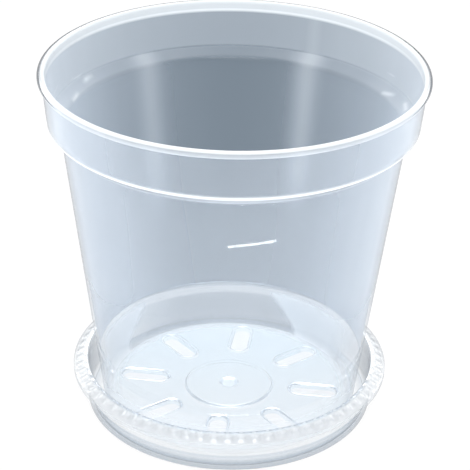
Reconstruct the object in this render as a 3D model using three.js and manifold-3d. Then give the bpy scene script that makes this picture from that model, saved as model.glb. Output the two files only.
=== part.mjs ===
// Clear plastic orchid pot standing in its own saucer, in millimetres, +Z up.
// The origin is the centre of the saucer's underside, and both pieces are turned about the Z axis.
import * as THREE from 'three';
import { mergeVertices } from 'three/addons/utils/BufferGeometryUtils.js';
import Module from 'manifold-3d';

// Pot: lip, band, shoulder and tapered wall
const potHeight = 143;
const potWall = 1.1;
const lipOuterRadius = 75;
const lipWidth = 3;
const lipHeight = 2.8;
const lipInnerHeight = 4.2;
const lipRounding = 1.1;
const lipOverhang = 1.6;
const bandTaper = 1.7;
const bandDepth = 19.8;
const bandRounding = 1.4;
const shoulderDrop = 3.7;
const shoulderWidth = 4.9;
const shoulderRounding = 2;
const bodyBottomRadius = 51.6;

// Pot: base with its raised hub, gate mark and drain slots
const baseThickness = 1.3;
const baseRounding = 4.5;
const hubRadius = 17.5;
const hubRise = 0.8;
const gateRadius = 1.6;
const gateHeight = 0.5;
const gateDishRadius = 4;
const gateDishDepth = 0.4;
const slotCount = 8;
const slotLength = 19;
const slotWidth = 7;
const slotMargin = 1.2;
const firstSlotAngle = -97.6;
const collarWidth = 1.3;
const collarHeight = 1.1;

// Saucer: floor, wall, turned-down flange and the ribs on it
const seatGap = 0.3;
const saucerRoom = 5.5;
const saucerHeight = 18.2;
const saucerWall = 1.1;
const saucerFloor = 1.2;
const saucerFlare = 0.8;
const saucerRounding = 0.9;
const saucerInnerRounding = 1.2;
const crestWidth = 2.2;
const crestRounding = 0.8;
const flangeReach = 3.9;
const flangeDrop = 2.1;
const flangeRounding = 0.5;
const skirtHeight = 2.2;
const ribCount = 72;
const ribWidth = 2.4;
const ribHeight = 0.7;
const ribRounding = 0.6;

// Facets
const turnSegments = 72;
const arcStep = THREE.MathUtils.degToRad(30);
const slotEndSegments = 6;
const cutOverrun = 2;
const ribSink = 0.3;
const weldDistance = 1e-4;

// Heights and radii that follow from the driving dimensions
const potBottom = saucerFloor + seatGap;
const potTop = potBottom + potHeight;
const bandBottom = potTop - bandDepth;
const bodyTop = bandBottom - shoulderDrop;
const innerFloor = potBottom + baseThickness;
const lipInnerRadius = lipOuterRadius - lipWidth;
const bandTopRadius = lipOuterRadius - lipOverhang;
const bandBottomRadius = bandTopRadius - bandTaper;
const bodyTopRadius = bandBottomRadius - shoulderWidth;
const saucerBaseRadius = bodyBottomRadius + saucerRoom + saucerWall;
const crestInnerRadius = saucerBaseRadius - saucerWall + saucerFlare;
const crestOuterRadius = crestInnerRadius + crestWidth;
const flangeRadius = crestOuterRadius + flangeReach;
const flangeEdgeTop = saucerHeight - flangeDrop;

const wasm = await Module();
wasm.setup();

// A closed geometry as a solid that can be joined and cut.
function toSolid(geometry) {
  const bare = geometry.clone();
  bare.deleteAttribute('normal');
  bare.deleteAttribute('uv');
  const welded = mergeVertices(bare, weldDistance);
  const source = welded.index.array;
  const triangles = [];
  for (let i = 0; i < source.length; i += 3) {
    const [a, b, c] = source.slice(i, i + 3);
    if (a !== b && b !== c && c !== a) {
      triangles.push(a, b, c);
    }
  }
  return new wasm.Manifold(new wasm.Mesh({
    numProp: 3,
    vertProperties: new Float32Array(welded.attributes.position.array),
    triVerts: new Uint32Array(triangles),
  }));
}

// A solid back as a geometry, ready for a mesh.
function toGeometry(solid) {
  const mesh = solid.getMesh();
  const geometry = new THREE.BufferGeometry();
  geometry.setAttribute('position', new THREE.BufferAttribute(mesh.vertProperties, 3));
  geometry.setIndex(new THREE.BufferAttribute(mesh.triVerts, 1));
  geometry.computeVertexNormals();
  return geometry;
}

// A corner of a turned outline: its radius, its height and how far it is rounded.
function corner(radius, height, rounding = 0) {
  return { point: new THREE.Vector2(radius, height), rounding };
}

// The points of an outline, with an arc in place of each rounded corner.
function roundedOutline(corners) {
  return corners.flatMap(({ point, rounding }, i) => {
    if (rounding === 0) {
      return [point];
    }
    const back = corners[i - 1].point.clone().sub(point).normalize();
    const ahead = corners[i + 1].point.clone().sub(point).normalize();
    const halfAngle = Math.acos(back.dot(ahead)) / 2;
    const middle = back.clone().add(ahead).normalize();
    const centre = point.clone().addScaledVector(middle, rounding / Math.sin(halfAngle));
    const start = point.clone().addScaledVector(back, rounding / Math.tan(halfAngle));
    const turn = Math.sign(ahead.cross(back)) * (Math.PI - 2 * halfAngle);
    const steps = Math.ceil(Math.abs(turn) / arcStep);
    return Array.from({ length: steps + 1 }, (_, k) => start.clone().rotateAround(centre, turn * k / steps));
  });
}

// The outline of a face that lies one wall thickness to the left of the line through the points.
function offsetCorners(points, thickness) {
  const normals = points.slice(1).map((p, i) => {
    const along = p.clone().sub(points[i]).normalize();
    return new THREE.Vector2(-along.y, along.x);
  });
  return points.map((p, i) => {
    const before = normals[Math.max(i - 1, 0)];
    const after = normals[Math.min(i, normals.length - 1)];
    const mitre = before.clone().add(after).normalize();
    return p.clone().addScaledVector(mitre, thickness / mitre.dot(after));
  });
}

// The radius of the straight line through two points at a given height.
function radiusAt(low, high, height) {
  return THREE.MathUtils.mapLinear(height, low.y, high.y, low.x, high.x);
}

function revolve(corners) {
  return new THREE.LatheGeometry(roundedOutline(corners), turnSegments).rotateX(Math.PI / 2);
}

// The wall of the pot, as the outline of its outer face from the base plane up to the lip.
const lipBottom = potTop - lipHeight;
const wallOuter = [
  new THREE.Vector2(bodyBottomRadius, potBottom),
  new THREE.Vector2(bodyTopRadius, bodyTop),
  new THREE.Vector2(bandBottomRadius, bandBottom),
  new THREE.Vector2(bandTopRadius, lipBottom),
];
const wallInner = offsetCorners(wallOuter, potWall);
const innerFloorRadius = radiusAt(wallInner[0], wallInner[1], innerFloor);
const innerRounding = baseRounding - potWall;

function potShell() {
  const [, outerShoulder, outerBand, outerLip] = wallOuter;
  const [, innerShoulder, innerBand] = wallInner;
  const hubBottom = potBottom + hubRise;
  const hubTop = innerFloor + hubRise;
  return revolve([
    corner(0, hubBottom - gateHeight),
    corner(gateRadius, hubBottom - gateHeight),
    corner(gateRadius, hubBottom),
    corner(hubRadius, hubBottom),
    corner(hubRadius + hubRise, potBottom),
    corner(bodyBottomRadius, potBottom, baseRounding),
    corner(outerShoulder.x, outerShoulder.y, shoulderRounding),
    corner(outerBand.x, outerBand.y, bandRounding),
    corner(outerLip.x, outerLip.y),
    corner(lipOuterRadius, lipBottom, lipRounding),
    corner(lipOuterRadius, potTop, lipRounding),
    corner(lipInnerRadius, potTop, lipRounding),
    corner(lipInnerRadius, potTop - lipInnerHeight),
    corner(innerBand.x, innerBand.y),
    corner(innerShoulder.x, innerShoulder.y, shoulderRounding + potWall),
    corner(innerFloorRadius, innerFloor, innerRounding),
    corner(hubRadius + hubRise, innerFloor),
    corner(hubRadius, hubTop),
    corner(gateDishRadius, hubTop),
    corner(0, hubTop - gateDishDepth),
  ]);
}

// A bar with round ends that points along +X, from one radius to another, standing from bottom to top.
function slotBar(innerEnd, outerEnd, width, bottom, top) {
  const half = width / 2;
  const outline = new THREE.Shape();
  outline.absarc(outerEnd - half, 0, half, -Math.PI / 2, Math.PI / 2);
  outline.absarc(innerEnd + half, 0, half, Math.PI / 2, 3 * Math.PI / 2);
  const bar = new THREE.ExtrudeGeometry(outline, {
    depth: top - bottom,
    bevelEnabled: false,
    curveSegments: slotEndSegments,
  });
  return bar.translate(0, 0, bottom);
}

function makePot() {
  const flatRadius = innerFloorRadius - innerRounding;
  const slotOuter = flatRadius - slotMargin - collarWidth;
  const slotInner = slotOuter - slotLength;
  const collarBottom = potBottom + baseThickness / 2;
  const collarTop = innerFloor + collarHeight;
  const collarOuterWidth = slotWidth + 2 * collarWidth;
  let pot = toSolid(potShell());
  for (let i = 0; i < slotCount; i += 1) {
    const angle = THREE.MathUtils.degToRad(firstSlotAngle + 360 * i / slotCount);
    const collar = slotBar(slotInner - collarWidth, slotOuter + collarWidth, collarOuterWidth, collarBottom, collarTop);
    const hole = slotBar(slotInner, slotOuter, slotWidth, potBottom - cutOverrun, collarTop + cutOverrun);
    pot = pot.add(toSolid(collar.rotateZ(angle))).subtract(toSolid(hole.rotateZ(angle)));
  }
  return toGeometry(pot);
}

function saucerShell() {
  const skirtBottom = flangeEdgeTop - skirtHeight;
  const wallLow = new THREE.Vector2(saucerBaseRadius, 0);
  const wallHigh = new THREE.Vector2(crestInnerRadius + saucerWall, saucerHeight);
  const [underCrest, underEdge, skirtInner] = offsetCorners([
    new THREE.Vector2(crestOuterRadius, saucerHeight),
    new THREE.Vector2(flangeRadius, flangeEdgeTop),
    new THREE.Vector2(flangeRadius, skirtBottom),
  ], -saucerWall);
  const underHeight = underCrest.y;
  return revolve([
    corner(0, 0),
    corner(saucerBaseRadius, 0, saucerRounding),
    corner(radiusAt(wallLow, wallHigh, underHeight), underHeight),
    corner(underCrest.x, underCrest.y),
    corner(underEdge.x, underEdge.y),
    corner(skirtInner.x, skirtBottom),
    corner(flangeRadius, skirtBottom),
    corner(flangeRadius, flangeEdgeTop, flangeRounding),
    corner(crestOuterRadius, saucerHeight),
    corner(crestInnerRadius, saucerHeight, crestRounding),
    corner(saucerBaseRadius - saucerWall, saucerFloor, saucerInnerRounding),
    corner(0, saucerFloor),
  ]);
}

// One rib: a low bar that runs down the slope of the flange, with a rounded top.
function rib() {
  const slope = Math.atan2(flangeDrop, flangeReach);
  const length = Math.hypot(flangeReach, flangeDrop) - flangeRounding;
  const half = ribWidth / 2;
  const section = new THREE.Shape();
  section.moveTo(-half, -ribSink);
  section.lineTo(half, -ribSink);
  section.lineTo(half, ribHeight - ribRounding);
  section.quadraticCurveTo(half, ribHeight, half - ribRounding, ribHeight);
  section.lineTo(ribRounding - half, ribHeight);
  section.quadraticCurveTo(-half, ribHeight, -half, ribHeight - ribRounding);
  const bar = new THREE.ExtrudeGeometry(section, { depth: length, bevelEnabled: false, curveSegments: 2 });
  return bar
    .applyMatrix4(new THREE.Matrix4().set(0, 0, 1, 0, 1, 0, 0, 0, 0, 1, 0, 0, 0, 0, 0, 1))
    .rotateY(slope)
    .translate(crestOuterRadius, 0, saucerHeight);
}

function makeSaucer() {
  let saucer = toSolid(saucerShell());
  for (let i = 0; i < ribCount; i += 1) {
    saucer = saucer.add(toSolid(rib().rotateZ(2 * Math.PI * i / ribCount)));
  }
  return toGeometry(saucer);
}

// Natural polypropylene: nearly colourless, a little blue and milky.
function clearPlastic(color, roughness) {
  return new THREE.MeshStandardMaterial({ color, roughness, metalness: 0, transparent: true, opacity: 0.35 });
}

const pot = new THREE.Mesh(makePot(), clearPlastic(0xd6e1ea, 0.25));
pot.name = 'pot';

const saucer = new THREE.Mesh(makeSaucer(), clearPlastic(0xe2e9ef, 0.3));
saucer.name = 'saucer';

const orchidPot = new THREE.Group();
orchidPot.add(saucer, pot);

export default orchidPot;
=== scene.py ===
from collections import namedtuple
from math import acos, atan2, ceil, cos, degrees, exp, hypot, pi, radians, sin, tan

import bmesh
import bpy
from mathutils import Matrix, Vector


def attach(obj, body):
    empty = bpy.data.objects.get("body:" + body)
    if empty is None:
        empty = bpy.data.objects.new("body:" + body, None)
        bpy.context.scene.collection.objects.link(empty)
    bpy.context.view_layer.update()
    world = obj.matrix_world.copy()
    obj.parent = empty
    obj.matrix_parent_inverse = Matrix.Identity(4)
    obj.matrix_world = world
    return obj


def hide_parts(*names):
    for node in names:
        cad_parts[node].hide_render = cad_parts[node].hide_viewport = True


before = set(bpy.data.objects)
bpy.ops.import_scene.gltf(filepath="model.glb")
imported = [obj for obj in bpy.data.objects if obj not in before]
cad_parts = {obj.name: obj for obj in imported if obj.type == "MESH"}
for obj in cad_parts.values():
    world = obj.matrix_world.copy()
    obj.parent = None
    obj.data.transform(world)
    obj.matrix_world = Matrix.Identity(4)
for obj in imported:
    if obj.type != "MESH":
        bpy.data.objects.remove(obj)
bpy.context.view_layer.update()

# Camera, as fitted to the photograph
IMAGE_WIDTH = 470
FOCAL_PIXELS = 1807.6
SENSOR_WIDTH = 36.0
AIM = Vector((0.001315, 0.0, 0.07287))
DISTANCE = 0.71989
ELEVATION = radians(28.02)
ROLL = radians(1.147)

# Driving sizes of the pot, in millimetres
POT_HEIGHT = 143.0
POT_WALL = 1.1
SEAT_GAP = 0.3
LIP_OUTER = 75.0
LIP_WIDTH = 3.0
LIP_HEIGHT = 2.8
LIP_INNER_HEIGHT = 4.2
LIP_OVERHANG = 1.6
BAND_DEPTH = 19.8
BAND_TAPER = 1.7
SHOULDER_DROP = 3.7
SHOULDER_WIDTH = 4.9
BODY_BOTTOM_RADIUS = 51.6
BASE_THICKNESS = 1.3
HUB_RADIUS = 17.5
HUB_RISE = 0.8
GATE_RADIUS = 1.6
GATE_HEIGHT = 0.5
DISH_RADIUS = 4.0
DISH_DEPTH = 0.6
DISH_SLOPE = 1.3

# Drain slots in the base of the pot
SLOT_COUNT = 8
SLOT_LENGTH = 19.0
SLOT_WIDTH = 7.0
SLOT_MARGIN = 1.2
FIRST_SLOT_ANGLE = radians(-97.6)
COLLAR_WIDTH = 1.3
COLLAR_HEIGHT = 1.1

# Driving sizes of the saucer, in millimetres
SAUCER_HEIGHT = 18.2
SAUCER_WALL = 1.1
SAUCER_FLOOR = 1.2
SAUCER_ROOM = 5.5
SAUCER_FLARE = 0.8
CREST_WIDTH = 2.2
FLANGE_REACH = 3.9
FLANGE_DROP = 2.1
SKIRT_HEIGHT = 2.2
RIB_COUNT = 72
RIB_HEIGHT = 0.45

# Roundings, in millimetres
LIP_ROUNDING = 1.25
LIP_ROOT_ROUNDING = 0.4
LIP_INNER_ROUNDING = 1.0
BAND_ROUNDING = 1.4
BAND_INNER_ROUNDING = 0.5
SHOULDER_ROUNDING = 2.0
BASE_ROUNDING = 4.5
HUB_ROUNDING = 0.4
GATE_ROUNDING = 0.3
DISH_EDGE_ROUNDING = 0.3
DISH_ROUNDING = 0.6
COLLAR_ROUNDING = 0.35
SLOT_ROUNDING = 1.1
SAUCER_ROUNDING = 0.9
SAUCER_INNER_ROUNDING = 1.2
UNDER_ROUNDING = 0.3
SKIRT_INNER_ROUNDING = 0.25
SKIRT_ROUNDING = 0.35
FLANGE_ROUNDING = 0.5
CREST_ROUNDING = 0.8

# Heights above the surface that the object stands on, and radii, worked out from the driving sizes
POT_BOTTOM = SAUCER_FLOOR + SEAT_GAP
POT_TOP = POT_BOTTOM + POT_HEIGHT
LIP_INNER = LIP_OUTER - LIP_WIDTH
LIP_BOTTOM = POT_TOP - LIP_HEIGHT
LIP_INNER_BOTTOM = POT_TOP - LIP_INNER_HEIGHT
BAND_TOP_RADIUS = LIP_OUTER - LIP_OVERHANG
BAND_BOTTOM_RADIUS = BAND_TOP_RADIUS - BAND_TAPER
BAND_BOTTOM = POT_TOP - BAND_DEPTH
BODY_TOP_RADIUS = BAND_BOTTOM_RADIUS - SHOULDER_WIDTH
BODY_TOP = BAND_BOTTOM - SHOULDER_DROP
INNER_FLOOR = POT_BOTTOM + BASE_THICKNESS
INNER_ROUNDING = BASE_ROUNDING - POT_WALL
HUB_BOTTOM = POT_BOTTOM + HUB_RISE
HUB_TOP = INNER_FLOOR + HUB_RISE
COLLAR_TOP = INNER_FLOOR + COLLAR_HEIGHT
SAUCER_BASE_RADIUS = BODY_BOTTOM_RADIUS + SAUCER_ROOM + SAUCER_WALL
SAUCER_INNER_RADIUS = SAUCER_BASE_RADIUS - SAUCER_WALL
CREST_INNER = SAUCER_INNER_RADIUS + SAUCER_FLARE
CREST_OUTER = CREST_INNER + CREST_WIDTH
FLANGE_RADIUS = CREST_OUTER + FLANGE_REACH
FLANGE_EDGE = SAUCER_HEIGHT - FLANGE_DROP
FLANGE_NORMAL = Vector((FLANGE_DROP, FLANGE_REACH)).normalized()
SKIRT_BOTTOM = FLANGE_EDGE - SKIRT_HEIGHT

# Fineness of the meshes, with steps in millimetres
MM = 0.001
ARC_STEP = radians(10)
POT_SEGMENTS = 240
SEGMENTS_PER_RIB = 8
FLANGE_STEPS = 6
FINE_STEP = 0.6
COARSE_STEP = 4.0
FINE_ABOVE = BODY_TOP - 1.0
FINE_BELOW = 26.0
STEEP = 0.5
HAIR = 0.01
ON_AXIS = 1e-6
BAR_END_STEPS = 12
BAR_ROUND_STEPS = 5
CUT_SPARE = 1.0
SHARP_ANGLE = radians(40)

# Colours and tints
# White of milky plastic, which also draws the painted highlights and reflections
MILK_AND_PAINTED_LIGHT_WHITE = (0.93, 0.96, 0.98, 1.0)
EDGE_GREY = (0.45, 0.47, 0.5, 1.0)
# Grey of the painted dark reflection along the lip
LINE_GREY = (0.3, 0.31, 0.33, 1.0)
CLEAR_TINT = (0.985, 0.99, 0.995, 1.0)
POT_HAZE = (0.84, 0.91, 1.0, 1.0)
SAUCER_HAZE = (0.94, 0.95, 0.96, 1.0)

# Clear plastic, with shares from 0 to 1 and slants as Layer Weight gives them
EVEN_SLANT = 0.5
FULL_SLANT = 0.97
MILK_OVER_GREY = 0.5
WHITE_GAIN = 2.0
LINE_SLANTS = (0.585, 0.635)
THROUGH_SHARE = 0.25
# From this much milk up, as at the painted highlights, less and less light goes through
HIGHLIGHT_MILK = 0.8
LEAST_HAZE = 0.1
STREAK_LEVELS = (0.8, 1.2)
STREAK_SCALE = (28.0, 28.0, 3.0)
STREAK_DETAIL = 3.0
BUMP_SCALE = 45.0
BUMP_DETAIL = 2.0
BUMP_STRENGTH = 0.2
BUMP_DEPTH = 0.0003
SMOOTH_BUMP_DEPTH = 0.00003
MOST_SHEEN = 0.3
POLISH_SHARE = 0.35
CLEAR_LAYERS = 32

# Ribs of the flange: where they start and end, and how much of the wave rises
RIB_BOTTOM = FLANGE_EDGE - 0.3
RIB_INNER_RADII = (CREST_OUTER - 1.0, CREST_OUTER + 0.1)
RIB_OUTER_RADII = (FLANGE_RADIUS - 1.7, FLANGE_RADIUS - 0.7)
RIB_WAVES = (0.25, 0.75)

# Which faces get which material, in millimetres and as the height of the face's normal
TURNED_IN = 0.2
TURNED_UP = 0.3
BASE_SKIN_TOP = COLLAR_TOP + 0.3
BASE_SKIN_RADIUS = BODY_BOTTOM_RADIUS - 3.0
CREST_SKIN_BOTTOM = FLANGE_EDGE - 1.0
FLANGE_SKIN_BOTTOM = SKIRT_BOTTOM - 0.3
FLANGE_SKIN_RADIUS = SAUCER_BASE_RADIUS + 1.0
FLOOR_SKIN_TOP = 2.0

# Milky places on the outside of the pot, with a painted highlight at the band step and a painted reflection
# at the foot: amounts, places in millimetres and heights of the normal
LIP_FADE = 0.3
LIP_SIDE_MILK = 0.28
LIP_TOP_MILK = 0.65
LIP_TOP_SLOPES = (0.3, 0.7)
BAND_STEP_MILK_AND_HIGHLIGHT = 0.85
BAND_STEP_RISE = 0.3
BAND_STEP_WIDTH = 0.7
FOOT_REFLECTION = 0.35
FOOT_HEIGHTS = (13.0, 24.0)

# Painted highlights on the base of the pot: the gate dish, the hub step, and the slot edges, which fade
# towards the back
BASE_TOP = COLLAR_TOP + 0.1
DISH_FLATNESS = 0.5
HUB_STEP_HIGHLIGHT = 0.8
HUB_STEP_WIDTH = 1.0
HUB_STEP_SLOPES = (0.3, 0.9)
SLOTS_START = HUB_RADIUS + 3.0
SLOT_EDGE_BOTTOM = INNER_FLOOR + 0.2
SLOT_EDGE_SLOPES = (0.1, 0.5)
SLOT_HIGHLIGHT_FADE = 0.75
SLOT_HIGHLIGHT_FADE_REACH = (0.0, 25.0)

# Milky places, painted reflections and painted highlights on the inside of the pot, with bearings in degrees
LIP_INSIDE_MILK = 0.6
LIP_INSIDE_FADE = 0.6
LIP_EDGE_MILK = 0.85
LIP_EDGE_RISE = 0.5
LIP_EDGE_WIDTH = 0.9
BAND_MILK = 0.2
BAND_FADE = 1.5
LEFT_STREAK_REFLECTION = 0.2
LEFT_STREAK_BEARING = -33.0
RIGHT_STREAK_REFLECTION = 0.25
RIGHT_STREAK_BEARING = 27.0
STREAK_WIDTH = 5.0
STREAK_HEIGHTS = (50.0, 80.0)
BEND_RISE = 1.2
BEND_WIDTH = 1.2
BEND_BEARING = 92.0
BEND_SPREAD = 25.0
PATCH_REFLECTION = 0.7
PATCH_TOP = 17.0
PATCH_FADE = 3.0
LEFT_PATCH_OUTER = (-95.0, -75.0)
LEFT_PATCH_INNER = (-48.0, -43.0)
RIGHT_PATCH_INNER = (18.0, 23.0)
RIGHT_PATCH_OUTER = (55.0, 75.0)
MARK_HIGHLIGHT = 0.35
MARK_WIDTH = 0.6
MARK_BEARINGS = (62.0, 96.0)
MARK_FADE = 8.0
Mark = namedtuple("Mark", "rise swing waves breaks phase gaps")
LOW_MARK = Mark(rise=2.0, swing=1.2, waves=11, breaks=29, phase=0.0, gaps=(0.1, 0.6))
HIGH_MARK = Mark(rise=6.5, swing=1.5, waves=13, breaks=23, phase=2.0, gaps=(0.2, 0.7))

# Painted shade, polish, painted grey line and clear ring of the pot
INSIDE_SHADE_HEIGHTS = (20.9, 21.8)
OUTSIDE_SHADE_HEIGHTS = (20.0, 75.0)
BASE_FRONT_SHADE = 0.3
BASE_BACK_SHADE = 0.9
BASE_SHADE_REACH = (-25.0, 45.0)
BASE_SHADE_HEIGHTS = (4.0, 7.0)
FLAT = 0.97
HUB_POLISH = 1.0
HUB_POLISH_RADIUS = HUB_RADIUS + 2.0
SLOT_POLISH = 2.2
LINE_BOTTOM = POT_TOP - LIP_HEIGHT / 2
LINE_RADII = (LIP_OUTER - 1.9, LIP_OUTER - 1.5)
CLEAR_RING = 0.5
CLEAR_RING_BOTTOM = (16.2, 17.4)
CLEAR_RING_TOP = (20.8, 21.2)

# Milk, shade and polish of the saucer
FLANGE_START = SAUCER_BASE_RADIUS + 1.2
FLANGE_BOTTOM = 13.0
FLANGE_UP = 0.2
FLANGE_MILK = 0.22
FLANGE_MILK_RADII = (SAUCER_BASE_RADIUS + 0.5, SAUCER_BASE_RADIUS + 2.5)
FLANGE_MILK_HEIGHTS = (11.0, 14.0)
CREST_MILK = 0.3
CREST_MILK_HEIGHTS = (SAUCER_HEIGHT - 0.8, SAUCER_HEIGHT - 0.2)
RIB_SHADE = 0.25
GAP_SHADE = 0.7
GAP_INNER_RADII = (CREST_OUTER, CREST_OUTER + 0.5)
GAP_OUTER_RADII = (FLANGE_RADIUS - 1.6, FLANGE_RADIUS - 0.8)
GAP_WAVES = (0.2, 0.7)
SKIRT_SHADE = 0.1
RING_RADII = (BODY_BOTTOM_RADIUS + 1.0, BODY_BOTTOM_RADIUS + 4.0)
WALL_LIGHTENING = 0.85
LIGHT_WALL_BOTTOM = (2.0, 5.0)
LIGHT_WALL_TOP = (11.0, 14.0)
FLANGE_POLISH = 0.06
WALL_POLISH = 1.5
WALL_POLISH_HEIGHTS = (6.8, 7.6)
WALL_LINE_POLISH = 0.6
WALL_LINE_HEIGHT = 5.4
WALL_LINE_WIDTH = 0.4

# Stage, in metres
FLOOR_SIZE = 6.0
FLOOR_DROP = 0.0002
FLOOR_WHITE = 0.9
FLOOR_GLOW = (0.92, 1.0)
FLOOR_GLOW_REACH = (0.4, 2.0)
SKY_LIGHT = 0.15
LAMP_TARGET = (0.0, 0.0, 0.07)

# Glint on the front of the pot: a thin curved line of light, in metres and watts
GLINT_COUNT = 5
GLINT_LEFT = -0.006
GLINT_RIGHT = 0.0735
GLINT_MIDDLE = 0.0078
GLINT_NEAREST = -0.16406
GLINT_BEND = 3.25
GLINT_HEIGHT = 0.01
GLINT_THICKNESS = 0.001
GLINT_FORWARD = 0.1
GLINT_UPWARD = 0.093
GLINT_POWER_PER_METRE = 0.06


# Outlines


def smooth_step(low, high, value):
    t = min(max((value - low) / (high - low), 0.0), 1.0)
    return t * t * (3 - 2 * t)


def fall(low, high, value):
    return 1 - smooth_step(low, high, value)


def corner(radius, height, rounding=0.0):
    return Vector((radius, height)), rounding


def rounded_outline(corners):
    """The points of a turned outline, with an arc in place of each rounded corner."""
    points = []
    for i, (point, rounding) in enumerate(corners):
        if rounding == 0:
            points.append(point)
            continue
        back = (corners[i - 1][0] - point).normalized()
        ahead = (corners[i + 1][0] - point).normalized()
        half = acos(back.dot(ahead)) / 2
        centre = point + (back + ahead).normalized() * rounding / sin(half)
        start = point + back * rounding / tan(half) - centre
        cross = ahead.x * back.y - ahead.y * back.x
        turn = (pi - 2 * half) * (1 if cross > 0 else -1)
        steps = ceil(abs(turn) / ARC_STEP)
        for k in range(steps + 1):
            points.append(centre + Matrix.Rotation(turn * k / steps, 2) @ start)
    return points


def offset_corners(points, thickness):
    """The line that lies one wall thickness to the left of the line through the points."""
    normals = []
    for a, b in zip(points, points[1:]):
        along = (b - a).normalized()
        normals.append(Vector((-along.y, along.x)))
    moved = []
    for i, point in enumerate(points):
        before = normals[max(i - 1, 0)]
        after = normals[min(i, len(normals) - 1)]
        mitre = (before + after).normalized()
        moved.append(point + mitre * thickness / mitre.dot(after))
    return moved


def radius_at(low, high, height):
    return low.x + (high.x - low.x) * (height - low.y) / (high.y - low.y)


def cut_up(points, steps_of):
    """The same line with each stretch cut into as many equal steps as steps_of gives for its ends."""
    cut = []
    for a, b in zip(points, points[1:]):
        steps = steps_of(a, b)
        cut += [a + (b - a) * k / steps for k in range(steps)]
    return cut + points[-1:]


def split_at(points, height):
    """The same line with a point added where it crosses a height."""
    cut = []
    for a, b in zip(points, points[1:]):
        cut.append(a)
        if min(a.y, b.y) < height < max(a.y, b.y):
            cut.append(a + (b - a) * (height - a.y) / (b.y - a.y))
    return cut + points[-1:]


def wall_steps(a, b):
    """Fine steps round the lip, the band and the low walls, where the paint changes fast."""
    length = (b - a).length
    high = min(a.y, b.y) > FINE_ABOVE
    low_wall = max(a.y, b.y) < FINE_BELOW + HAIR and abs(b.y - a.y) > STEEP * length
    return ceil(length / (FINE_STEP if high or low_wall else COARSE_STEP))


def rib_steps(a, b):
    """Steps for the ribs on the top of the flange, the one long stretch that rises inwards."""
    rises_in = b.y - a.y > FLANGE_DROP / 2 and a.x - b.x > FLANGE_REACH / 2
    return FLANGE_STEPS if rises_in else 1


WALL_OUTER = [
    Vector((BODY_BOTTOM_RADIUS, POT_BOTTOM)),
    Vector((BODY_TOP_RADIUS, BODY_TOP)),
    Vector((BAND_BOTTOM_RADIUS, BAND_BOTTOM)),
    Vector((BAND_TOP_RADIUS, LIP_BOTTOM)),
]
WALL_INNER = offset_corners(WALL_OUTER, POT_WALL)
INNER_FLOOR_RADIUS = radius_at(WALL_INNER[0], WALL_INNER[1], INNER_FLOOR)
FLAT_BASE_RADIUS = INNER_FLOOR_RADIUS - INNER_ROUNDING


def pot_outline():
    return rounded_outline([
        corner(0, HUB_BOTTOM - GATE_HEIGHT),
        corner(GATE_RADIUS, HUB_BOTTOM - GATE_HEIGHT, GATE_ROUNDING),
        corner(GATE_RADIUS, HUB_BOTTOM),
        corner(HUB_RADIUS, HUB_BOTTOM, HUB_ROUNDING),
        corner(HUB_RADIUS + HUB_RISE, POT_BOTTOM, HUB_ROUNDING),
        corner(BODY_BOTTOM_RADIUS, POT_BOTTOM, BASE_ROUNDING),
        corner(*WALL_OUTER[1], SHOULDER_ROUNDING),
        corner(*WALL_OUTER[2], BAND_ROUNDING),
        corner(*WALL_OUTER[3], LIP_ROOT_ROUNDING),
        corner(LIP_OUTER, LIP_BOTTOM, LIP_ROUNDING),
        corner(LIP_OUTER, POT_TOP, LIP_ROUNDING),
        corner(LIP_INNER, POT_TOP, LIP_ROUNDING),
        corner(LIP_INNER, LIP_INNER_BOTTOM, LIP_INNER_ROUNDING),
        corner(*WALL_INNER[2], BAND_INNER_ROUNDING),
        corner(*WALL_INNER[1], SHOULDER_ROUNDING + POT_WALL),
        corner(INNER_FLOOR_RADIUS, INNER_FLOOR, INNER_ROUNDING),
        corner(HUB_RADIUS + HUB_RISE, INNER_FLOOR, HUB_ROUNDING),
        corner(HUB_RADIUS, HUB_TOP, HUB_ROUNDING),
        corner(DISH_RADIUS, HUB_TOP, DISH_EDGE_ROUNDING),
        corner(DISH_RADIUS - DISH_SLOPE, HUB_TOP - DISH_DEPTH, DISH_ROUNDING),
        corner(0, HUB_TOP - DISH_DEPTH),
    ])


def saucer_outline():
    flange_top = [
        Vector((CREST_OUTER, SAUCER_HEIGHT)),
        Vector((FLANGE_RADIUS, FLANGE_EDGE)),
        Vector((FLANGE_RADIUS, SKIRT_BOTTOM)),
    ]
    under = offset_corners(flange_top, -SAUCER_WALL)
    wall_low = Vector((SAUCER_BASE_RADIUS, 0))
    wall_high = Vector((CREST_INNER + SAUCER_WALL, SAUCER_HEIGHT))
    return rounded_outline([
        corner(0, 0),
        corner(SAUCER_BASE_RADIUS, 0, SAUCER_ROUNDING),
        corner(radius_at(wall_low, wall_high, under[0].y), under[0].y, UNDER_ROUNDING),
        corner(*under[0]),
        corner(*under[1], UNDER_ROUNDING),
        corner(under[2].x, SKIRT_BOTTOM, SKIRT_INNER_ROUNDING),
        corner(FLANGE_RADIUS, SKIRT_BOTTOM, SKIRT_ROUNDING),
        corner(FLANGE_RADIUS, FLANGE_EDGE, FLANGE_ROUNDING),
        corner(CREST_OUTER, SAUCER_HEIGHT, CREST_ROUNDING),
        corner(CREST_INNER, SAUCER_HEIGHT, CREST_ROUNDING),
        corner(SAUCER_INNER_RADIUS, SAUCER_FLOOR, SAUCER_INNER_ROUNDING),
        corner(0, SAUCER_FLOOR),
    ])


# Meshes


def add_object(name, data):
    made = bpy.data.objects.new(name, data)
    bpy.context.scene.collection.objects.link(made)
    return made


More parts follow.
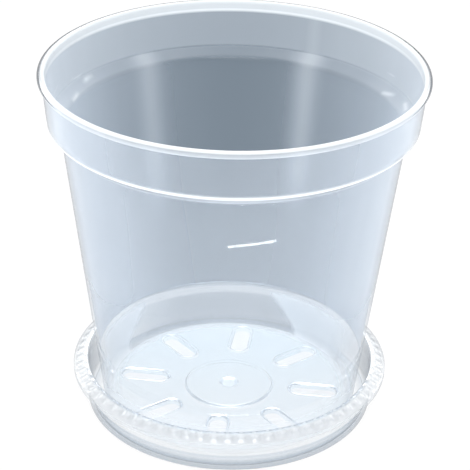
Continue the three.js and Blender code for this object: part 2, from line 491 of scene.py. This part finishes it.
def turned_mesh(name, outline, segments, relief=None):
    """Turns an outline in millimetres about the Z axis; relief moves a point of it by an angle."""
    verts = []
    rings = []
    for point in outline:
        if point.x < ON_AXIS:
            rings.append([len(verts)])
            verts.append((0.0, 0.0, point.y * MM))
            continue
        ring = []
        for k in range(segments):
            angle = 2 * pi * k / segments
            moved = point + relief(point, angle) if relief else point
            ring.append(len(verts))
            verts.append((moved.x * cos(angle) * MM, moved.x * sin(angle) * MM, moved.y * MM))
        rings.append(ring)
    faces = []
    for low, high in zip(rings, rings[1:]):
        for k in range(segments):
            n = (k + 1) % segments
            if len(low) == 1:
                faces.append((low[0], high[n], high[k]))
            elif len(high) == 1:
                faces.append((low[k], low[n], high[0]))
            else:
                faces.append((low[k], low[n], high[n], high[k]))
    mesh = bpy.data.meshes.new(name)
    mesh.from_pydata(verts, [], faces)
    return add_object(name, mesh)


def bar_outline(inner, outer, half, angle):
    """A bar with round ends, from one radius to another, turned to an angle."""
    centres = ((outer - half, -pi / 2), (inner + half, pi / 2))
    turn = Matrix.Rotation(angle, 2)
    points = []
    for centre, first in centres:
        for k in range(BAR_END_STEPS + 1):
            a = first + pi * k / BAR_END_STEPS
            points.append(turn @ Vector((centre + half * cos(a), half * sin(a))))
    return points


def add_bar(form, inner, outer, half, angle, levels):
    """Adds a closed bar to a bmesh; each level is a height and how far the outline is drawn in there."""
    rings = []
    for height, inset in levels:
        outline = bar_outline(inner + inset, outer - inset, half - inset, angle)
        rings.append([form.verts.new((p.x * MM, p.y * MM, height * MM)) for p in outline])
    form.faces.new(reversed(rings[0]))
    form.faces.new(rings[-1])
    for low, high in zip(rings, rings[1:]):
        for k in range(len(low)):
            n = (k + 1) % len(low)
            form.faces.new((low[k], low[n], high[n], high[k]))


def slot_bars(name, inner, outer, half, levels):
    """One bar for each drain slot."""
    form = bmesh.new()
    for k in range(SLOT_COUNT):
        angle = FIRST_SLOT_ANGLE + 2 * pi * k / SLOT_COUNT
        add_bar(form, inner, outer, half, angle, levels)
    mesh = bpy.data.meshes.new(name)
    form.to_mesh(mesh)
    form.free()
    return add_object(name, mesh)


def rounded_levels(height, rounding, sign):
    """Levels of a quarter round under a height: sign 1 draws the outline in, sign -1 lets it out."""
    levels = []
    for k in range(BAR_ROUND_STEPS + 1):
        a = pi / 2 * k / BAR_ROUND_STEPS
        levels.append((height - rounding * (1 - sin(a)), sign * rounding * (1 - cos(a))))
    return levels


def combine(piece, tool, operation):
    """Joins or cuts a piece with a tool and deletes the tool."""
    modifier = piece.modifiers.new("combine", "BOOLEAN")
    modifier.operation = operation
    modifier.solver = "EXACT"
    modifier.object = tool
    depsgraph = bpy.context.evaluated_depsgraph_get()
    done = bpy.data.meshes.new_from_object(piece.evaluated_get(depsgraph))
    piece.modifiers.clear()
    piece.data = done
    bpy.data.objects.remove(tool)


def make_pot():
    outline = cut_up(split_at(pot_outline(), FINE_BELOW), wall_steps)
    pot = turned_mesh("orchid_pot", outline, POT_SEGMENTS)
    outer = FLAT_BASE_RADIUS - SLOT_MARGIN - COLLAR_WIDTH
    inner = outer - SLOT_LENGTH
    half = SLOT_WIDTH / 2

    collar_root = (POT_BOTTOM + BASE_THICKNESS / 2, 0.0)
    levels = [collar_root] + rounded_levels(COLLAR_TOP, COLLAR_ROUNDING, 1)
    collars = slot_bars("collars", inner - COLLAR_WIDTH, outer + COLLAR_WIDTH, half + COLLAR_WIDTH, levels)
    combine(pot, collars, "UNION")

    hole_bottom = (POT_BOTTOM - CUT_SPARE, 0.0)
    hole_top = (COLLAR_TOP + CUT_SPARE, -SLOT_ROUNDING)
    levels = [hole_bottom] + rounded_levels(COLLAR_TOP, SLOT_ROUNDING, -1) + [hole_top]
    combine(pot, slot_bars("holes", inner, outer, half, levels), "DIFFERENCE")
    return pot


def rib_wave(angle):
    """1 in the middle of a rib of the flange, 0 in the middle of a gap."""
    return 0.5 + 0.5 * cos(RIB_COUNT * angle)


def rib_relief(point, angle):
    """How far a rib moves a point of the saucer's outline."""
    if point.y < RIB_BOTTOM:
        return Vector((0, 0))
    on_slope = smooth_step(*RIB_INNER_RADII, point.x) * fall(*RIB_OUTER_RADII, point.x)
    return FLANGE_NORMAL * RIB_HEIGHT * on_slope * smooth_step(*RIB_WAVES, rib_wave(angle))


def make_saucer():
    outline = cut_up(cut_up(saucer_outline(), rib_steps), wall_steps)
    return turned_mesh("saucer_dish", outline, RIB_COUNT * SEGMENTS_PER_RIB, rib_relief)


# Nodes


def node(tree, kind, inputs=None, **settings):
    made = tree.nodes.new(kind)
    for key, value in settings.items():
        setattr(made, key, value)
    for key, value in (inputs or {}).items():
        socket = made.inputs[key]
        if isinstance(value, bpy.types.NodeSocket):
            tree.links.new(value, socket)
        else:
            socket.default_value = value
    return made


def empty_material(name):
    material = bpy.data.materials.new(name)
    material.use_nodes = True
    material.node_tree.nodes.clear()
    return material, material.node_tree


def grey(value):
    return (value, value, value, 1.0)


def rgb(red, green, blue):
    return (red, green, blue, 1.0)


def mix_value(tree, factor, a, b):
    made = node(tree, "ShaderNodeMix", {0: factor, 2: a, 3: b}, data_type="FLOAT")
    return made.outputs[0]


def mix_colour(tree, factor, a, b):
    made = node(tree, "ShaderNodeMix", {0: factor, 6: a, 7: b}, data_type="RGBA")
    return made.outputs[2]


def mix_shader(tree, factor, a, b):
    return node(tree, "ShaderNodeMixShader", {0: factor, 1: a, 2: b}).outputs[0]


def map_range(tree, value, source, target):
    inputs = {0: value, 1: source[0], 2: source[1], 3: target[0], 4: target[1]}
    return node(tree, "ShaderNodeMapRange", inputs).outputs[0]


def maths(tree, operation, a, b, clamp=False):
    return node(tree, "ShaderNodeMath", {0: a, 1: b}, operation=operation, use_clamp=clamp).outputs[0]


def plus(tree, a, b, clamp=False):
    return maths(tree, "ADD", a, b, clamp)


def times(tree, a, b, clamp=False):
    return maths(tree, "MULTIPLY", a, b, clamp)


def less(tree, value):
    """One less a value."""
    return maths(tree, "SUBTRACT", 1.0, value)


def painted(tree, name):
    return node(tree, "ShaderNodeAttribute", attribute_name=name).outputs["Fac"]


# Clear plastic

Surface = namedtuple("Surface", "tree away ahead facing shade milk")


def flow_streaks(tree):
    """Soft upright streaks in the moulded wall."""
    place = node(tree, "ShaderNodeTexCoord").outputs["Object"]
    spread = node(tree, "ShaderNodeMapping", {"Vector": place, "Scale": STREAK_SCALE}).outputs[0]
    noise = node(tree, "ShaderNodeTexNoise", {"Vector": spread, "Scale": 1.0, "Detail": STREAK_DETAIL})
    return map_range(tree, noise.outputs["Fac"], (0.0, 1.0), STREAK_LEVELS)


def moulded_bump(tree, depth):
    place = node(tree, "ShaderNodeTexCoord").outputs["Object"]
    noise = node(tree, "ShaderNodeTexNoise", {"Vector": place, "Scale": BUMP_SCALE, "Detail": BUMP_DETAIL})
    inputs = {"Height": noise.outputs["Fac"], "Strength": BUMP_STRENGTH, "Distance": depth}
    return node(tree, "ShaderNodeBump", inputs).outputs[0]


def start_surface(tree):
    away = node(tree, "ShaderNodeNewGeometry").outputs["Backfacing"]
    facing = node(tree, "ShaderNodeLayerWeight", {"Blend": EVEN_SLANT}).outputs["Facing"]
    return Surface(tree, away, less(tree, away), facing, painted(tree, "shade"), painted(tree, "milk"))


def slant_greying(surface, greying):
    """How grey the plastic is at a slant. Greying is its start, its amount and its share without shade."""
    tree = surface.tree
    start, amount, least = greying
    slant = map_range(tree, surface.facing, (start, FULL_SLANT), (0.0, amount))
    unmilky = times(tree, slant, less(tree, times(tree, surface.milk, MILK_OVER_GREY)))
    return times(tree, unmilky, mix_value(tree, surface.shade, least, 1.0), clamp=True)


def side_tint(surface, front, behind):
    tree = surface.tree
    front_tint = mix_colour(tree, surface.shade, *front)
    return mix_colour(tree, surface.away, front_tint, mix_colour(tree, surface.shade, *behind))


def cleared_tint(surface, tint, slants):
    """The tint without its colour where it is painted clear, and at the slants given where it is unshaded."""
    tree = surface.tree
    slanting = map_range(tree, surface.facing, slants, (0.0, 1.0))
    fading = times(tree, slanting, less(tree, surface.shade))
    cleared = maths(tree, "MAXIMUM", fading, times(tree, painted(tree, "clear"), surface.ahead))
    return mix_colour(tree, cleared, tint, CLEAR_TINT)


def lip_line(surface):
    """The grey line along the lip, a painted dark reflection, which shows only at a slant."""
    seen = map_range(surface.tree, surface.facing, LINE_SLANTS, (0.0, 1.0))
    return times(surface.tree, painted(surface.tree, "line"), seen)


def milky_shader(surface, haze_colour, edge):
    tree = surface.tree
    white = mix_colour(tree, times(tree, surface.milk, WHITE_GAIN, clamp=True), haze_colour, MILK_AND_PAINTED_LIGHT_WHITE)
    cloud = mix_colour(tree, edge, white, EDGE_GREY)
    diffuse = node(tree, "ShaderNodeBsdfDiffuse", {"Color": cloud}).outputs[0]
    through = node(tree, "ShaderNodeBsdfTranslucent", {"Color": cloud}).outputs[0]
    # Towards full milk, at the painted highlights, the light is all diffuse
    thin = map_range(tree, surface.milk, (HIGHLIGHT_MILK, 1.0), (THROUGH_SHARE, 0.0))
    return mix_shader(tree, thin, diffuse, through)


def milky_share(surface, haze, haze_gain):
    """The share of milky plastic: haze, more of it at a slant and in shade, up to all where milk and painted
    light are laid on.
    """
    tree = surface.tree
    slanted = plus(tree, times(tree, surface.facing, haze_gain), haze)
    level = times(tree, slanted, mix_value(tree, surface.shade, LEAST_HAZE, 1.0))
    cloudy = times(tree, level, flow_streaks(tree), clamp=True)
    return times(tree, mix_value(tree, surface.milk, cloudy, 1.0), surface.ahead)


def mirror_share(surface, ior, normal):
    tree = surface.tree
    sheen = node(tree, "ShaderNodeFresnel", {"IOR": ior, "Normal": normal}).outputs[0]
    polish = times(tree, painted(tree, "polish"), POLISH_SHARE)
    return times(tree, plus(tree, maths(tree, "MINIMUM", sheen, MOST_SHEEN), polish), surface.ahead)


def clear_plastic(name, front, behind, haze, greying, gloss, lip=False, clear_slants=None):
    """Thin plastic. Front and behind are the tints of its two sides, each without shade and in full shade.
    Haze is a colour, a level and a gain with slant; gloss is a roughness, an index and a depth of bump."""
    material, tree = empty_material(name)
    surface = start_surface(tree)
    haze_colour, haze_level, haze_gain = haze
    roughness, ior, depth = gloss
    edge = slant_greying(surface, greying)
    tint = side_tint(surface, front, behind)
    if clear_slants:
        tint = cleared_tint(surface, tint, clear_slants)
    tint = mix_colour(tree, edge, tint, EDGE_GREY)
    share = milky_share(surface, haze_level, haze_gain)
    if lip:
        line = lip_line(surface)
        tint = mix_colour(tree, line, tint, LINE_GREY)
        share = times(tree, share, less(tree, line))
    clear = node(tree, "ShaderNodeBsdfTransparent", {"Color": tint}).outputs[0]
    body = mix_shader(tree, share, clear, milky_shader(surface, haze_colour, edge))
    normal = moulded_bump(tree, depth)
    shine_inputs = {"Color": grey(1.0), "Roughness": roughness, "Normal": normal}
    shine = node(tree, "ShaderNodeBsdfGlossy", shine_inputs).outputs[0]
    whole = mix_shader(tree, mirror_share(surface, ior, normal), body, shine)
    node(tree, "ShaderNodeOutputMaterial", {"Surface": whole})
    return material


# Paint: amounts by place in millimetres and by the normal of the face


def bell(value, centre, width):
    return exp(-((value - centre) / width) ** 2)


def blend(share, a, b):
    return a + (b - a) * share


def radius_of(place):
    return hypot(place.x, place.y)


def bearing_of(place):
    """Degrees from the back of the object, positive to the right."""
    return degrees(atan2(place.x, place.y))


def inward(place, normal):
    return normal.x * place.x + normal.y * place.y < -TURNED_IN * radius_of(place)


def on_base(place):
    return place.z < BASE_TOP and radius_of(place) < FLAT_BASE_RADIUS


def slot_edge(place, normal):
    """The rounded upper edges of the drain slots, with a painted highlight that fades towards the back."""
    if radius_of(place) < SLOTS_START or place.z < SLOT_EDGE_BOTTOM:
        return 0.0
    highlight_left = 1 - SLOT_HIGHLIGHT_FADE * smooth_step(*SLOT_HIGHLIGHT_FADE_REACH, place.y)
    return highlight_left * smooth_step(*SLOT_EDGE_SLOPES, normal.z)


def on_hub_step(place, normal):
    low, high = HUB_STEP_SLOPES
    return abs(radius_of(place) - HUB_RADIUS) < HUB_STEP_WIDTH and low < normal.z < high


# The white on the gate dish, the hub step and the slot edges is painted highlight
def base_highlights(place, normal):
    if radius_of(place) < DISH_RADIUS and normal.z > DISH_FLATNESS:
        return 1.0
    return HUB_STEP_HIGHLIGHT if on_hub_step(place, normal) else slot_edge(place, normal)


def wavy_mark(mark, bearing, height):
    """A wavy line of painted highlight along the inner shoulder, broken into short pieces."""
    turn = radians(bearing)
    middle = BODY_TOP + mark.rise + mark.swing * sin(mark.waves * turn)
    pieces = smooth_step(*mark.gaps, sin(mark.breaks * turn + mark.phase))
    return bell(height, middle, MARK_WIDTH) * pieces


def shoulder_highlights(bearing, height):
    """Painted highlights along the inner shoulder, on the left and on the right."""
    low, high = MARK_BEARINGS
    sideways = abs(bearing)
    sides = smooth_step(low - MARK_FADE, low, sideways) * fall(high, high + MARK_FADE, sideways)
    return sides * max(wavy_mark(mark, bearing, height) for mark in (LOW_MARK, HIGH_MARK))


def low_reflection_patches(bearing, height):
    """Patches of painted reflection low on the inner wall, left and right. Their inner edges slant out by a
    degree a millimetre.
    """
    drop = PATCH_TOP - height
    left = smooth_step(*LEFT_PATCH_OUTER, bearing) * fall(*LEFT_PATCH_INNER, bearing + drop)
    right = smooth_step(*RIGHT_PATCH_INNER, bearing - drop) * fall(*RIGHT_PATCH_OUTER, bearing)
    return max(left, right) * fall(PATCH_TOP, PATCH_TOP + PATCH_FADE, height)


# Upright streaks of painted reflection on the inner wall, left and right
def wall_reflection_streaks(bearing, height):
    left = LEFT_STREAK_REFLECTION * bell(bearing, LEFT_STREAK_BEARING, STREAK_WIDTH)
    right = RIGHT_STREAK_REFLECTION * bell(bearing, RIGHT_STREAK_BEARING, STREAK_WIDTH)
    return (left + right) * smooth_step(*STREAK_HEIGHTS, height)


# Milk at the lip and band, painted reflections in streaks and patches, and painted highlights on the shoulder
# and the bend above the base
def inside_milk_and_painted_light(bearing, height):
    lip_fade = smooth_step(LIP_INNER_BOTTOM, LIP_INNER_BOTTOM + LIP_INSIDE_FADE, height)
    lip_edge = bell(height, LIP_INNER_BOTTOM + LIP_EDGE_RISE, LIP_EDGE_WIDTH)
    band_fade = smooth_step(BAND_BOTTOM, BAND_BOTTOM + BAND_FADE, height)
    # A painted highlight along the bend above the base, at the left and the right
    bend_highlight = bell(height, INNER_FLOOR + BEND_RISE, BEND_WIDTH)
    bend_highlight *= bell(abs(bearing), BEND_BEARING, BEND_SPREAD)
    return max(
        LIP_INSIDE_MILK * lip_fade,
        LIP_EDGE_MILK * lip_edge,
        BAND_MILK * band_fade,
        wall_reflection_streaks(bearing, height),
        PATCH_REFLECTION * low_reflection_patches(bearing, height),
        MARK_HIGHLIGHT * shoulder_highlights(bearing, height),
        bend_highlight,
    )


# The band step's milk is also a painted highlight, and the foot's milk is a painted reflection
def pot_milk_and_painted_light(place, normal):
    if on_base(place):
        return base_highlights(place, normal)
    if inward(place, normal):
        return inside_milk_and_painted_light(bearing_of(place), place.z)
    lip = smooth_step(LIP_BOTTOM - LIP_FADE, LIP_BOTTOM, place.z)
    lip *= blend(smooth_step(*LIP_TOP_SLOPES, normal.z), LIP_SIDE_MILK, LIP_TOP_MILK)
    band_step = BAND_STEP_MILK_AND_HIGHLIGHT * bell(place.z, BAND_BOTTOM + BAND_STEP_RISE, BAND_STEP_WIDTH)
    foot_reflection = FOOT_REFLECTION * fall(*FOOT_HEIGHTS, place.z)
    return max(lip, band_step, foot_reflection)


def pot_shade(place, normal):
    """The depth of the tint, which is painted shade: inside above the saucer's rim, outside upwards, and on
    the base, deeper towards the back.
    """
    if inward(place, normal):
        return smooth_step(*INSIDE_SHADE_HEIGHTS, place.z)
    base = blend(smooth_step(*BASE_SHADE_REACH, place.y), BASE_FRONT_SHADE, BASE_BACK_SHADE)
    base *= fall(*BASE_SHADE_HEIGHTS, place.z)
    return max(smooth_step(*OUTSIDE_SHADE_HEIGHTS, place.z), base)


def pot_polish(place, normal):
    """More gloss on the sloped places of the base."""
    if not on_base(place) or not 0.0 < normal.z < FLAT:
        return 0.0
    return HUB_POLISH if radius_of(place) < HUB_POLISH_RADIUS else SLOT_POLISH * slot_edge(place, normal)


def pot_line(place, normal):
    """The upper outer edge of the lip, where the grey line of painted dark reflection lies."""
    return smooth_step(*LINE_RADII, radius_of(place)) if place.z >= LINE_BOTTOM else 0.0


def pot_clear(place, normal):
    """A ring of the inner wall, level with the rim of the saucer, where the painted shade is half taken off.
    """
    ring = smooth_step(*CLEAR_RING_BOTTOM, place.z) * fall(*CLEAR_RING_TOP, place.z)
    return CLEAR_RING * ring if inward(place, normal) else 0.0


def rib_gap(place):
    """1 in the middle of the gap between two ribs of the flange, 0 on the ribs."""
    radius = radius_of(place)
    on_slope = smooth_step(*GAP_INNER_RADII, radius) * fall(*GAP_OUTER_RADII, radius)
    return on_slope * fall(*GAP_WAVES, rib_wave(atan2(place.y, place.x)))


def saucer_milk(place, normal):
    flange = smooth_step(*FLANGE_MILK_RADII, radius_of(place)) * smooth_step(*FLANGE_MILK_HEIGHTS, place.z)
    return max(FLANGE_MILK * flange, CREST_MILK * smooth_step(*CREST_MILK_HEIGHTS, place.z))


def saucer_shade(place, normal):
    """Painted shade, as a deeper tint: in the gaps between the ribs, and round the pot except on the wall."""
    radius = radius_of(place)
    if radius > FLANGE_START and place.z > FLANGE_BOTTOM:
        return blend(rib_gap(place), RIB_SHADE, GAP_SHADE) if normal.z > FLANGE_UP else SKIRT_SHADE
    light_wall = smooth_step(*LIGHT_WALL_BOTTOM, place.z) * fall(*LIGHT_WALL_TOP, place.z)
    return smooth_step(*RING_RADII, radius) * (1 - WALL_LIGHTENING * light_wall)


def saucer_polish(place, normal):
    """More gloss on the flange, on the upper part of the outer wall and along a line below it."""
    if radius_of(place) > FLANGE_START:
        return FLANGE_POLISH if normal.z > FLANGE_UP else 0.0
    if inward(place, normal):
        return 0.0
    upper_wall = WALL_POLISH * smooth_step(*WALL_POLISH_HEIGHTS, place.z)
    return max(upper_wall, WALL_LINE_POLISH * bell(place.z, WALL_LINE_HEIGHT, WALL_LINE_WIDTH))


# Dressing


def paint(piece, name, amount):
    """Stores an amount at each corner of each face."""
    mesh = piece.data
    places = [vertex.co / MM for vertex in mesh.vertices]
    values = []
    for face in mesh.polygons:
        normal = face.normal.copy()
        values += [amount(places[index], normal) for index in face.vertices]
    mesh.attributes.new(name, "FLOAT", "CORNER").data.foreach_set("value", values)


def dress(piece, skins, skin_at, paints):
    """Gives a piece its materials, chooses one for each face and paints the amounts that they read."""
    names = list(skins)
    for material in skins.values():
        piece.data.materials.append(material)
    for face in piece.data.polygons:
        face.material_index = names.index(skin_at(face.center / MM, face.normal))
    for name, amount in paints.items():
        paint(piece, name, amount)
    piece.data.shade_smooth()
    piece.data.set_sharp_from_angle(angle=SHARP_ANGLE)


def pot_skin_at(place, normal):
    if place.z < BASE_SKIN_TOP and radius_of(place) < BASE_SKIN_RADIUS:
        return "base"
    return "inside" if inward(place, normal) or normal.z > TURNED_UP else "outside"


def dress_pot(pot):
    near = (CLEAR_TINT, rgb(0.955, 0.97, 0.985))
    far = (rgb(0.95, 0.96, 0.97), rgb(0.80, 0.83, 0.86))
    # The far wall's tints are painted shade, deep above the saucer's rim
    far_wall = (rgb(0.57, 0.60, 0.63), rgb(0.225, 0.27, 0.315))
    # The base's second tint is painted shade, deeper towards the back
    base = (rgb(0.985, 0.993, 1.0), rgb(0.9, 0.95, 0.98))
    skins = {
        "outside": clear_plastic(
            "pot_outside", near, far, haze=(POT_HAZE, 0.1, 0.45), greying=(0.73, 1.0, 0.3),
            gloss=(0.025, 1.45, SMOOTH_BUMP_DEPTH), lip=True),
        "inside": clear_plastic(
            "pot_inside", far_wall, near, haze=(POT_HAZE, 0.0, 0.85), greying=(0.85, 0.2, 0.2),
            gloss=(0.15, 1.16, BUMP_DEPTH), lip=True, clear_slants=(0.15, 0.5)),
        "base": clear_plastic(
            "pot_base", base, base, haze=(MILK_AND_PAINTED_LIGHT_WHITE, 0.06, 0.1), greying=(0.7, 0.6, 1.0),
            gloss=(0.3, 1.06, BUMP_DEPTH)),
    }
    paints = {
        "milk": pot_milk_and_painted_light, "shade": pot_shade, "polish": pot_polish, "line": pot_line, "clear": pot_clear,
    }
    dress(pot, skins, pot_skin_at, paints)


def saucer_skin_at(place, normal):
    radius = radius_of(place)
    on_crest = place.z > CREST_SKIN_BOTTOM and normal.z > TURNED_UP
    on_flange = place.z > FLANGE_SKIN_BOTTOM and radius > FLANGE_SKIN_RADIUS
    if on_crest or on_flange:
        return "rim"
    if radius < SAUCER_INNER_RADIUS - SAUCER_INNER_ROUNDING and place.z < FLOOR_SKIN_TOP:
        return "floor"
    return "inside" if inward(place, normal) else "outside"


def dress_saucer(saucer):
    # saucer_shade, which is painted shade, chooses between the two tints of each pair
    clear = (CLEAR_TINT, rgb(0.84, 0.86, 0.88))
    floor = (CLEAR_TINT, rgb(0.84, 0.87, 0.90))
    rim = (rgb(0.95, 0.96, 0.97), rgb(0.58, 0.61, 0.64))
    wall_outer = (rgb(0.79, 0.83, 0.87), rgb(0.52, 0.56, 0.60))
    wall = (rgb(0.84, 0.86, 0.88), rgb(0.90, 0.91, 0.92))
    haze = (SAUCER_HAZE, 0.1, 0.2)
    satin = (0.15, 1.25, BUMP_DEPTH)
    matt = (0.15, 1.05, BUMP_DEPTH)
    skins = {
        "outside": clear_plastic("saucer_outside", wall_outer, wall, haze, (0.6, 1.0, 1.0), satin),
        "inside": clear_plastic("saucer_inside", wall, clear, haze, (0.45, 0.7, 1.0), satin),
        "floor": clear_plastic("saucer_floor", floor, floor, haze, (0.85, 0.0, 0.0), matt),
        "rim": clear_plastic("saucer_rim", rim, rim, haze, (0.6, 1.0, 1.0), satin),
    }
    paints = {"milk": saucer_milk, "shade": saucer_shade, "polish": saucer_polish}
    dress(saucer, skins, saucer_skin_at, paints)


# Stage


def shown_rays(tree):
    """1 for rays that show the background: those of the camera, of gloss and of clear plastic."""
    path = node(tree, "ShaderNodeLightPath").outputs
    seen = plus(tree, path["Is Camera Ray"], path["Is Glossy Ray"])
    return plus(tree, seen, path["Is Transmission Ray"], clamp=True)


def make_floor():
    corners = [(-1, -1), (1, -1), (1, 1), (-1, 1)]
    mesh = bpy.data.meshes.new("floor")
    verts = [(x * FLOOR_SIZE, y * FLOOR_SIZE, -FLOOR_DROP) for x, y in corners]
    mesh.from_pydata(verts, [], [(0, 1, 2, 3)])
    floor = add_object("floor", mesh)
    material, tree = empty_material("white_floor")
    matt = node(tree, "ShaderNodeBsdfDiffuse", {"Color": grey(FLOOR_WHITE)}).outputs[0]
    glow = node(tree, "ShaderNodeEmission", {"Color": grey(1.0), "Strength": 1.0}).outputs[0]
    place = node(tree, "ShaderNodeTexCoord").outputs["Object"]
    distance = node(tree, "ShaderNodeVectorMath", {0: place}, operation="LENGTH").outputs["Value"]
    even = map_range(tree, distance, FLOOR_GLOW_REACH, FLOOR_GLOW)
    whole = mix_shader(tree, times(tree, shown_rays(tree), even), matt, glow)
    node(tree, "ShaderNodeOutputMaterial", {"Surface": whole})
    mesh.materials.append(material)


def make_world():
    world = bpy.data.worlds.new("studio")
    bpy.context.scene.world = world
    world.use_nodes = True
    tree = world.node_tree
    tree.nodes.clear()
    strength = mix_value(tree, shown_rays(tree), SKY_LIGHT, 1.0)
    sky = node(tree, "ShaderNodeBackground", {"Color": grey(1.0), "Strength": strength})
    node(tree, "ShaderNodeOutputWorld", {"Surface": sky.outputs[0]})


def add_lamp(name, place, target, width, height, power):
    light = bpy.data.lights.new(name, "AREA")
    light.shape = "RECTANGLE"
    light.size = width
    light.size_y = height
    light.energy = power
    lamp = add_object(name, light)
    lamp.location = place
    lamp.rotation_euler = (Vector(target) - Vector(place)).to_track_quat("-Z", "Y").to_euler()


def make_studio_lamps():
    """Soft panels in front, above and behind, and upright strips at the sides, all turned to the object."""
    add_lamp("key", (0, -0.88, 1.2), LAMP_TARGET, width=0.8, height=0.7, power=17)
    add_lamp("top", (0, 0.25, 1.4), LAMP_TARGET, width=1.0, height=0.6, power=11)
    add_lamp("front", (-0.2, -1.4, 0.6), LAMP_TARGET, width=0.9, height=0.7, power=8)
    add_lamp("back_panel", (0, 1.2, 0.8), LAMP_TARGET, width=1.4, height=0.7, power=5)
    add_lamp("back_left", (-0.75, 0.65, 0.55), LAMP_TARGET, width=0.15, height=0.7, power=2)
    add_lamp("back_right", (0.75, 0.65, 0.55), LAMP_TARGET, width=0.15, height=0.7, power=2)
    add_lamp("left_strip", (-1.1, -0.3, 0.5), LAMP_TARGET, width=0.3, height=1.0, power=2.6)
    add_lamp("right_strip", (1.1, -0.2, 0.5), LAMP_TARGET, width=0.3, height=1.0, power=2.6)


def glint_point(k):
    x = GLINT_LEFT + (GLINT_RIGHT - GLINT_LEFT) * k / GLINT_COUNT
    return Vector((x, GLINT_NEAREST + GLINT_BEND * (x - GLINT_MIDDLE) ** 2, GLINT_HEIGHT))


def make_glint_lamps():
    """Thin lamps end to end along a curve in front of the pot, which make the sharp glint on its wall."""
    for k in range(GLINT_COUNT):
        start = glint_point(k)
        end = glint_point(k + 1)
        along = end - start
        across = Vector((-along.y, along.x, 0.0)).normalized()
        centre = (start + end) / 2
        target = centre + across * GLINT_FORWARD + Vector((0, 0, GLINT_UPWARD))
        power = GLINT_POWER_PER_METRE * along.length
        add_lamp(f"glint_{k}", centre, target, along.length, GLINT_THICKNESS, power)


def make_camera():
    data = bpy.data.cameras.new("camera")
    data.sensor_width = SENSOR_WIDTH
    data.lens = SENSOR_WIDTH * FOCAL_PIXELS / IMAGE_WIDTH
    camera = add_object("camera", data)
    back = Vector((0, -cos(ELEVATION), sin(ELEVATION)))
    turn = Matrix.Rotation(pi / 2 - ELEVATION, 4, "X") @ Matrix.Rotation(ROLL, 4, "Z")
    camera.matrix_world = Matrix.Translation(AIM + back * DISTANCE) @ turn
    bpy.context.scene.camera = camera


make_camera()

pot = make_pot()
dress_pot(pot)
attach(pot, "pot")
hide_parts("pot")

saucer = make_saucer()
dress_saucer(saucer)
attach(saucer, "saucer")
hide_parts("saucer")

make_floor()
make_world()
make_studio_lamps()
make_glint_lamps()
bpy.context.scene.view_settings.view_transform = "Standard"
bpy.context.scene.cycles.transparent_max_bounces = CLEAR_LAYERS
